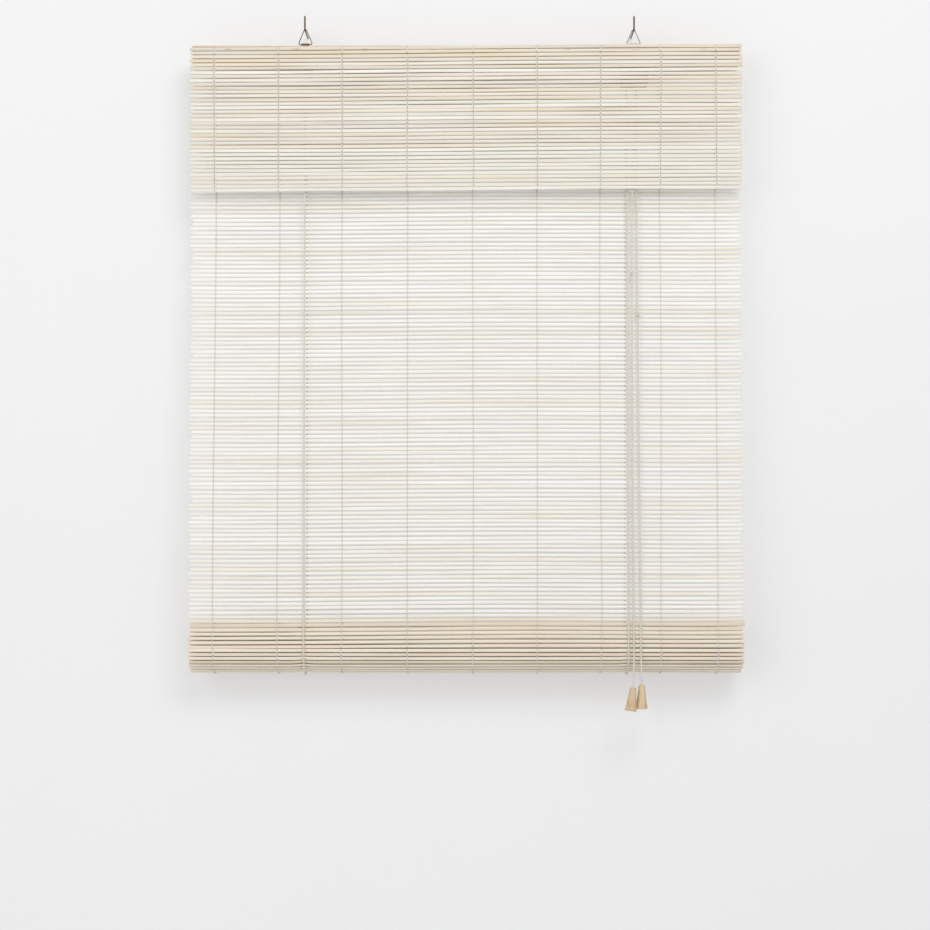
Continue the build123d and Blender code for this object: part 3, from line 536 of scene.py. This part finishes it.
wound_rows = [wound_row((row + 0.5) * CURTAIN_PITCH) for row in range(WOUND_ROWS)]
lift_x = [
    sum(corner[0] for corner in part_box(f"cord_loop_{side}")) / 2 - BLIND_X
    for side in ("left", "right")
]
outer_wrap = Weave(CURTAIN_STRIP, STRIP_THICKNESS, STATIONS, 1.6 * MM, 0.16 * MM, None, lift_x)
for place, rise, depth in wound_rows[:OUTER_ROWS]:
    outer_wrap.strip(place, rise, depth)
outer_mesh = outer_wrap.finish("roll_outer_weave", roll_bamboo)
inner_wraps = Weave(INNER_STRIP, STRIP_THICKNESS, INNER_STATIONS, 2.2 * MM, 0.12 * MM)
for place, rise, depth in wound_rows[OUTER_ROWS:]:
    inner_wraps.strip(place, rise, depth)
inner_mesh = inner_wraps.finish("roll_inner_weave", roll_bamboo)


# --------------------------------------------------------------------------------------
# Weaving strings: two strands cross between the strips, one in front, one behind
# --------------------------------------------------------------------------------------
STRAND_R = 0.55 * MM


def weaving_strings(name, rows, material, sway=None):
    points = []
    faces = []
    for line_x in STRING_X:
        lean = rng.uniform(-1.0, 1.0) * 1.2 * MM
        drift = rng.uniform(0.0, 6.28)
        raised = sway(line_x) if sway else 0.0
        for start in (1, -1):
            path = []
            for k, (place, rise, depth) in enumerate(rows):
                face = start * (1 if k % 2 else -1)
                offset = line_x + lean * math.sin(k * 0.045 + drift)
                stand = (SLAT_THICKNESS / 2 + STRAND_R) * face
                middle = place + X_AXIS * offset + depth * stand + rise * raised
                for share in (-0.36, 0.36):
                    lift = rise * (share * SLAT_HEIGHT * 1.1)
                    path.append(middle + lift - X_AXIS * (share * face * STRAND_R))
                if k + 1 < len(rows):
                    half_way = (place + rows[k + 1][0]) / 2 + rise * raised
                    path.append(half_way + X_AXIS * (offset - face * STRAND_R * 0.9))
            rings = []
            normal = X_AXIS
            for k, point in enumerate(path):
                along = (path[min(k + 1, len(path) - 1)] - path[max(k - 1, 0)]).normalized()
                normal = (normal - along * normal.dot(along)).normalized()
                side_axis = along.cross(normal)
                thickness = STRAND_R * rng.uniform(0.88, 1.12)
                ring = []
                for angle in (0.0, 1.0472, 2.0944, 3.1416, 4.1888, 5.2360):
                    across = normal * (thickness * math.cos(angle))
                    ring.append(point + across + side_axis * (thickness * math.sin(angle)))
                rings.append(ring)
            faces += skin(rings, len(points))
            for ring in rings:
                points += ring
    return mesh_object(name, points, faces, material)


curtain_string_mesh = weaving_strings("curtain_string_weave", curtain_rows, painted_shade_string_cotton, curtain_sway)
top_string_mesh = weaving_strings("valance_top_string_weave", valance_rows[:FIXED_ROWS], pale_cotton,
                                  valance_sway)
flap_string_mesh = weaving_strings("valance_string_weave", valance_rows[FIXED_ROWS:], pale_cotton,
                                   valance_sway)
roll_string_mesh = weaving_strings("roll_string_weave", wound_rows[:OUTER_ROWS], pale_cotton)

for piece, body, node in (
    (curtain_mesh, "headrail", "curtain_slats"),
    (curtain_foot_mesh, "headrail", "curtain_slats"),
    (curtain_string_mesh, "headrail", "curtain_strings"),
    (top_mesh, "headrail", "valance_top_slats"),
    (top_string_mesh, "headrail", "valance_top_strings"),
    (flap_mesh, "valance", "valance_slats"),
    (flap_string_mesh, "valance", "valance_strings"),
    (outer_mesh, "roll", "roll_outer_slats"),
    (inner_mesh, "roll", "roll_inner_slats"),
    (roll_string_mesh, "roll", "roll_strings"),
):
    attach(piece, body)
    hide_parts(node)

for piece in (curtain_mesh, curtain_foot_mesh, curtain_string_mesh):
    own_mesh(piece)


# --------------------------------------------------------------------------------------
# Lift cords
# --------------------------------------------------------------------------------------
lift_box = {side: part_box(f"lift_cord_front_{side}") for side in ("left", "right")}
back_box = {side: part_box(f"lift_cord_back_{side}") for side in ("left", "right")}
loop_box = {side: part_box(f"cord_loop_{side}") for side in ("left", "right")}
LOOP_R = (loop_box["left"][1][1] - loop_box["left"][0][1]) / 2 - CORD_R
LIFT_X = {side: (lift_box[side][0][0] + lift_box[side][1][0]) / 2 for side in ("left", "right")}
LOOP_STEPS = 110
CORD_Y = {"left": -52.3 * MM, "right": -46.3 * MM}  # planes of the cords through the lock


def middle(node):
    low, high = (Vector(corner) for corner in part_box(node))
    return (low + high) / 2


def touch_angle(y, z, side):
    """Angle from the vertical of the line from (y, z) that touches the loop round the roll."""
    across = y - ROLL_AXIS.y
    down = z - ROLL_AXIS.z
    return math.atan2(across, down) + side * math.asin(LOOP_R / math.hypot(across, down))


for side in ("left", "right"):
    x = LIFT_X[side]
    front_top = Vector((x, CORD_Y[side], lift_box[side][1][2]))
    front_slope = touch_angle(front_top.y, front_top.z, 1)
    front_end = Vector((x, ROLL_AXIS.y - LOOP_R * math.cos(front_slope),
                        ROLL_AXIS.z + LOOP_R * math.sin(front_slope)))
    back_top = Vector((x, middle(f"anchor_knot_{side}").y, back_box[side][1][2]))
    back_slope = touch_angle(back_top.y, back_top.z, -1)
    back_end = Vector((x, ROLL_AXIS.y + LOOP_R * math.cos(back_slope),
                       ROLL_AXIS.z - LOOP_R * math.sin(back_slope)))
    for word, top, foot in (("front", front_top, front_end), ("back", back_top, back_end)):
        run = tube(f"lift_rope_{word}_{side}", even_path([top, foot], 0.9 * MM), CORD_R, 10,
                   cord_cotton, strands=3)
        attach(run, "headrail")
        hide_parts(f"lift_cord_{word}_{side}")
        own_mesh(run)
    first = math.pi - front_slope
    last = 2 * math.pi - back_slope
    loop_path = []
    for k in range(LOOP_STEPS + 1):
        angle = first + (last - first) * k / LOOP_STEPS
        y = ROLL_AXIS.y + LOOP_R * math.cos(angle)
        z = ROLL_AXIS.z + LOOP_R * math.sin(angle)
        loop_path.append(Vector((x, y, z)))
    loop = tube(f"loop_rope_{side}", loop_path, CORD_R, 10, cord_cotton, strands=3)
    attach(loop, "roll_carrier")
    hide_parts(f"cord_loop_{side}")

pulley_centre = middle("pulley_wheel")
roller_centre = middle("lock_roller")
PULLEY_TURN_R = pulley_centre.x - LIFT_X["left"]
ROLLER_TURN_R = roller_centre.x - LIFT_X["right"]


def over_wheel(centre, y, radius, first, last):
    """The cord's line over a wheel, between two angles in degrees, anticlockwise from +X."""
    steps = 14
    return [
        Vector((centre.x + radius * math.cos(angle), y, centre.z + radius * math.sin(angle)))
        for angle in (math.radians(first + (last - first) * k / steps) for k in range(steps + 1))
    ]


outlet_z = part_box("left_cord_crossing")[0][2]
for name, ends in (
    ("left_cord_crossing", (
        [Vector((roller_centre.x + ROLLER_TURN_R, CORD_Y["left"], outlet_z))]
        + over_wheel(roller_centre, CORD_Y["left"], ROLLER_TURN_R, 0, 90)
        + over_wheel(pulley_centre, CORD_Y["left"], PULLEY_TURN_R, 90, 180)
    )),
    ("right_cord_turn", (
        [Vector((roller_centre.x + ROLLER_TURN_R, CORD_Y["right"], outlet_z))]
        + over_wheel(roller_centre, CORD_Y["right"], ROLLER_TURN_R, 0, 180)
    )),
):
    held = tube(f"{name}_rope", even_path(ends, 1.2 * MM), CORD_R, 10, cord_cotton, strands=3)
    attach(held, "headrail")
    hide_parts(name)


# --------------------------------------------------------------------------------------
# Knots
# --------------------------------------------------------------------------------------
def tied_knot(name, centre, axis, radius, height, tail):
    """Overhand knot drawn tight about a cord, with one short frayed tail."""
    turn = Vector((0, 0, 1)).rotation_difference(axis.normalized()).to_matrix()
    strand = radius * 0.36
    path = []
    for k in range(97):
        t = 2 * math.pi * k / 96
        x = (math.sin(t) + 2 * math.sin(2 * t)) / 3
        y = (math.cos(t) - 2 * math.cos(2 * t)) / 3
        z = -math.sin(3 * t)
        local = Vector((x * (radius - strand), y * (radius - strand), z * (height / 2 - strand)))
        path.append(centre + turn @ local)
    if tail:
        start = path[30]
        outward = (start - centre) - axis.normalized() * (start - centre).dot(axis.normalized())
        outward.normalize()
        path += [start + outward * (strand * 0.4)]
        path += [path[-1] + outward * (tail * 0.5) - axis.normalized() * (tail * 0.2 * share)
                 for share in (0.5, 1.0)]
    return tube(name, path, strand, 10, cord_cotton, strands=3, lay=3.2 * MM)


for side in ("left", "right"):
    knot = tied_knot(f"anchor_tie_{side}", middle(f"anchor_knot_{side}"), Vector((0, 0, -1)),
                     2.1 * MM, 6.0 * MM, 0)
    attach(knot, "headrail")
    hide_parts(f"anchor_knot_{side}")


# --------------------------------------------------------------------------------------
# Pull cords: straight under the tassel's weight, slack where they leave the lock
# --------------------------------------------------------------------------------------
PULL_Y = -86.2
PULL_ROUTES = {
    "left": [
        (243.2, -52.3, -84.0),
        (235.6, -58.6, -222.0),
        (235.2, -64.2, -352.0),
        (236.5, PULL_Y, -893.0),
        (236.66, PULL_Y - 1.38, -942.0),
        (233.4, PULL_Y - 4.1, -969.2),
    ],
    "right": [
        (243.2, -46.3, -84.0),
        (242.8, -54.6, -240.0),
        (243.9, -63.4, -414.0),
        (246.5, PULL_Y, -894.0),
        (247.8, PULL_Y + 0.31, -940.0),
        (247.8, PULL_Y + 1.1, -966.2),
    ],
}


def spline_points(name, route):
    """Points along the smooth line that the route's points control."""
    curve = bpy.data.curves.new(name, "CURVE")
    curve.dimensions = "3D"
    curve.resolution_u = 24
    spline = curve.splines.new("NURBS")
    spline.points.add(len(route) - 1)
    for point, place in zip(spline.points, route):
        point.co = (*(value * MM for value in place), 1.0)
    spline.order_u = 3
    spline.use_endpoint_u = True
    carrier = bpy.data.objects.new(name, curve)
    bpy.context.collection.objects.link(carrier)
    line = bpy.data.meshes.new_from_object(carrier)
    points = [vertex.co.copy() for vertex in line.vertices]
    bpy.data.objects.remove(carrier)
    bpy.data.curves.remove(curve)
    bpy.data.meshes.remove(line)
    return points


def tassel(name, centre, axis):
    """Turned bell: a rounded neck, a straight flare, a rounded foot and a hollow."""
    profile = [(r * MM, a * MM) for r, a in (
        (1.35, -17.4), (2.5, -17.5), (3.6, -17.2), (4.3, -16.5), (4.55, -15.6), (4.6, -14.6),
        (4.85, -12.6), (5.35, -8.6), (6.0, -3.6), (6.7, 2.0), (7.4, 7.4), (8.0, 11.6), (8.4, 14.2),
        (8.62, 15.2), (8.6, 15.8), (8.3, 16.3), (7.8, 16.48), (6.9, 16.45), (6.35, 16.2), (6.2, 15.4),
        (5.6, 11.0), (4.7, 5.6), (3.9, 1.4), (3.5, 0.1), (1.35, 0.0),
    )]
    return revolve(name, profile, centre, axis, 56, tassel_wood)


for side, knot_node in (("left", "cord_knot_left"), ("right", "cord_knot_right")):
    path = spline_points(f"pull_line_{side}", PULL_ROUTES[side])
    knot_centre = middle(knot_node)
    nearest = min(path, key=lambda point: (point - knot_centre).length)
    ahead = path[path.index(nearest) + 1]
    knot_axis = (ahead - nearest).normalized()
    axis = (Vector(PULL_ROUTES[side][-1]) - Vector(PULL_ROUTES[side][-2])).normalized()
    rope = tube(f"pull_rope_{side}", even_path(path, 0.9 * MM), CORD_R, 10, cord_cotton, strands=3)
    on_line = nearest + knot_axis * (knot_centre - nearest).dot(knot_axis)
    knot = tied_knot(f"pull_tie_{side}", on_line, knot_axis, 3.2 * MM, 8.0 * MM, 6.0 * MM)
    foot = path[-1]
    bell = tassel(f"bell_{side}", foot, axis)
    stop = tied_knot(f"stop_tie_{side}", foot + axis * (3.1 * MM), axis, 2.75 * MM, 6.0 * MM, 0)
    for piece, node, slot in (
        (knot, knot_node, "cord"),
        (bell, f"tassel_{side}", "tassel"),
        (stop, f"tassel_knot_{side}", "cord"),
    ):
        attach(piece, f"{side}_pull")
        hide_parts(node)
    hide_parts(f"pull_cord_{side}")
    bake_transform(rope)


# --------------------------------------------------------------------------------------
# Finishes of the CAD pieces that keep their shape
# --------------------------------------------------------------------------------------
finishes = {
    "wall_hook_left": hook_bronze,
    "wall_hook_right": hook_bronze,
    "hanger_ring_left": darker_ring_metal,
    "hanger_ring_right": ring_steel,
    "hanger_strap_left": darker_strap_metal,
    "hanger_strap_right": strap_steel,
    "hanger_strap_screws": lock_brass,
    "headrail": rail_wood,
    "bottom_batten": batten_wood,
    "valance_staples": pin_steel,
    "curtain_staples": pin_steel,
    "pulley_bracket": lock_brass,
    "pulley_wheel": wheel_brass,
    "pulley_axle": pin_steel,
    "lock_bracket": lock_brass,
    "lock_roller": wheel_brass,
    "lock_roller_pin": pin_steel,
    "lock_cam": wheel_brass,
    "lock_cam_pin": pin_steel,
    "bracket_screws": lock_brass,
    "cord_eye_left": lock_brass,
    "cord_eye_right": lock_brass,
}
for node, material in finishes.items():
    piece = frame["nodes"][node]
    piece.data.materials.clear()
    piece.data.materials.append(material)


# --------------------------------------------------------------------------------------
# Stage: a pale wall and floor, and soft light from above and in front
# --------------------------------------------------------------------------------------
def plain(name, colour, roughness, glow):
    """Pale, evenly glowing surface that is clear from behind."""
    material, tree, shader = new_material(name, roughness)
    patch = noise(tree, scaled_position(tree, (1, 1, 1)), 3.0, 2.0)
    lighter = tuple(min(1.0, value * 1.02) for value in colour)
    toned = ramp(tree, patch, (0.2, colour), (0.8, lighter))
    tree.links.new(toned, shader.inputs["Base Color"])
    shader.inputs["Emission Color"].default_value = (1.0, 1.0, 1.0, 1.0)
    shader.inputs["Emission Strength"].default_value = glow
    side = tree.nodes.new("ShaderNodeNewGeometry")
    clear = tree.nodes.new("ShaderNodeBsdfTransparent")
    either = tree.nodes.new("ShaderNodeMixShader")
    tree.links.new(side.outputs["Backfacing"], either.inputs["Fac"])
    tree.links.new(shader.outputs["BSDF"], either.inputs[1])
    tree.links.new(clear.outputs["BSDF"], either.inputs[2])
    tree.links.new(either.outputs["Shader"], tree.nodes["Material Output"].inputs["Surface"])
    return material


def stage_plane(name, corners, material):
    plane = mesh_object(name, [Vector(corner) for corner in corners], [(0, 1, 2, 3)], material, smooth=False)


wall_paint = plain("wall_paint", (0.56, 0.56, 0.565), 0.85, 0.30)
pull_slide = next(j for j in frame["record"]["behaviour"]["joints"] if j["name"] == "left_pull_slide")
FLOOR_Z = cad_box[0].z - pull_slide["range_m"][1] - 0.1  # below the tassels at full lift
LEFT, RIGHT = -6, 6
ROOM_Y = -8
CEILING_Z = 4
stage_plane(
    "wall", [(LEFT, 0, FLOOR_Z), (RIGHT, 0, FLOOR_Z), (RIGHT, 0, CEILING_Z), (LEFT, 0, CEILING_Z)],
    wall_paint,
)
stage_plane(
    "floor", [(LEFT, ROOM_Y, FLOOR_Z), (RIGHT, ROOM_Y, FLOOR_Z), (RIGHT, 0, FLOOR_Z), (LEFT, 0, FLOOR_Z)],
    wall_paint,
)


def area_light(name, place, target, size, power):
    light = bpy.data.lights.new(name, "AREA")
    light.shape = "RECTANGLE"
    light.size, light.size_y = size
    light.energy = power
    lamp = bpy.data.objects.new(name, light)
    lamp.location = place
    aim = Vector(target) - Vector(place)
    lamp.rotation_euler = aim.to_track_quat("-Z", "Y").to_euler()
    bpy.context.collection.objects.link(lamp)


area_light("key", (0.7, -2.5, 1.3), (0, 0, -0.5), (1.6, 1.2), 34)
area_light("fill", (-2.0, -3.0, 0.2), (0, 0, -0.5), (2.5, 2.5), 30)
world = bpy.data.worlds.new("world")
world.use_nodes = True
world.node_tree.nodes["Background"].inputs["Color"].default_value = (1.0, 1.0, 1.0, 1.0)
world.node_tree.nodes["Background"].inputs["Strength"].default_value = 0.55
bpy.context.scene.world = world
bpy.context.scene.view_settings.view_transform = "Standard"
